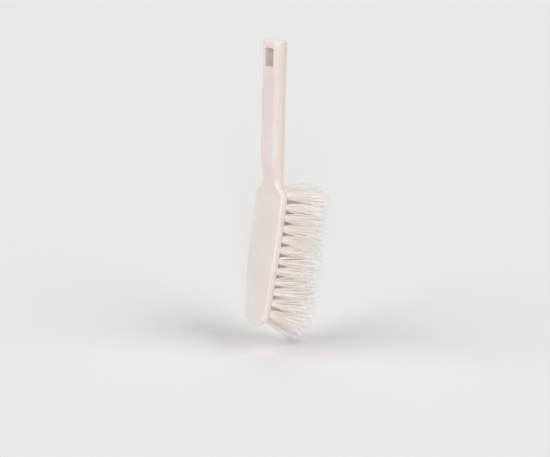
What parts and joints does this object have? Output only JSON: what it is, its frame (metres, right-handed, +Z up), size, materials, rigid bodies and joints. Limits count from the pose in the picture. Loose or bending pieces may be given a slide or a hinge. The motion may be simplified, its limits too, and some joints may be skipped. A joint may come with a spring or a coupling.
{
  "type": "banister brush",
  "caption": "Banister brush: cranked one-piece plastic handle with a hang slot and a tapered round-nosed block, carrying rows of flared filament tufts held by staple anchors.",
  "frame": {"origin": "under the middle of the upright brush, level with its lowest tuft tips", "axes": "+Z up the handle to its end face, +Y the way the tufts point, X across the block; the smooth back faces -Y"},
  "size_m": [0.0622, 0.1004, 0.3741],
  "materials": {
    "body": "satin moulded",
    "filament": "satin fibre",
    "anchor": "drawn"
  },
  "bodies": {
    "root": {"anchor_left_inner_01": "anchor", "anchor_left_inner_02": "anchor", "anchor_left_inner_03": "anchor", "anchor_left_inner_04": "anchor", "anchor_left_inner_05": "anchor", "anchor_left_inner_06": "anchor", "anchor_left_inner_07": "anchor", "anchor_left_inner_08": "anchor", "anchor_left_inner_09": "anchor", "anchor_left_inner_10": "anchor", "anchor_left_inner_11": "anchor", "anchor_left_inner_12": "anchor", "anchor_left_inner_13": "anchor", "anchor_left_outer_01": "anchor", "anchor_left_outer_02": "anchor", "anchor_left_outer_03": "anchor", "anchor_left_outer_04": "anchor", "anchor_left_outer_05": "anchor", "anchor_left_outer_06": "anchor", "anchor_left_outer_07": "anchor", "anchor_left_outer_08": "anchor", "anchor_left_outer_09": "anchor", "anchor_left_outer_10": "anchor", "anchor_left_outer_11": "anchor", "anchor_left_outer_12": "anchor", "anchor_right_inner_01": "anchor", "anchor_right_inner_02": "anchor", "anchor_right_inner_03": "anchor", "anchor_right_inner_04": "anchor", "anchor_right_inner_05": "anchor", "anchor_right_inner_06": "anchor", "anchor_right_inner_07": "anchor", "anchor_right_inner_08": "anchor", "anchor_right_inner_09": "anchor", "anchor_right_inner_10": "anchor", "anchor_right_inner_11": "anchor", "anchor_right_inner_12": "anchor", "anchor_right_inner_13": "anchor", "anchor_right_outer_01": "anchor", "anchor_right_outer_02": "anchor", "anchor_right_outer_03": "anchor", "anchor_right_outer_04": "anchor", "anchor_right_outer_05": "anchor", "anchor_right_outer_06": "anchor", "anchor_right_outer_07": "anchor", "anchor_right_outer_08": "anchor", "anchor_right_outer_09": "anchor", "anchor_right_outer_10": "anchor", "anchor_right_outer_11": "anchor", "anchor_right_outer_12": "anchor", "handle_and_block": "body", "tuft_row_left_inner": "filament", "tuft_row_left_outer": "filament", "tuft_row_right_inner": "filament", "tuft_row_right_outer": "filament"}
  },
  "joints": []
}
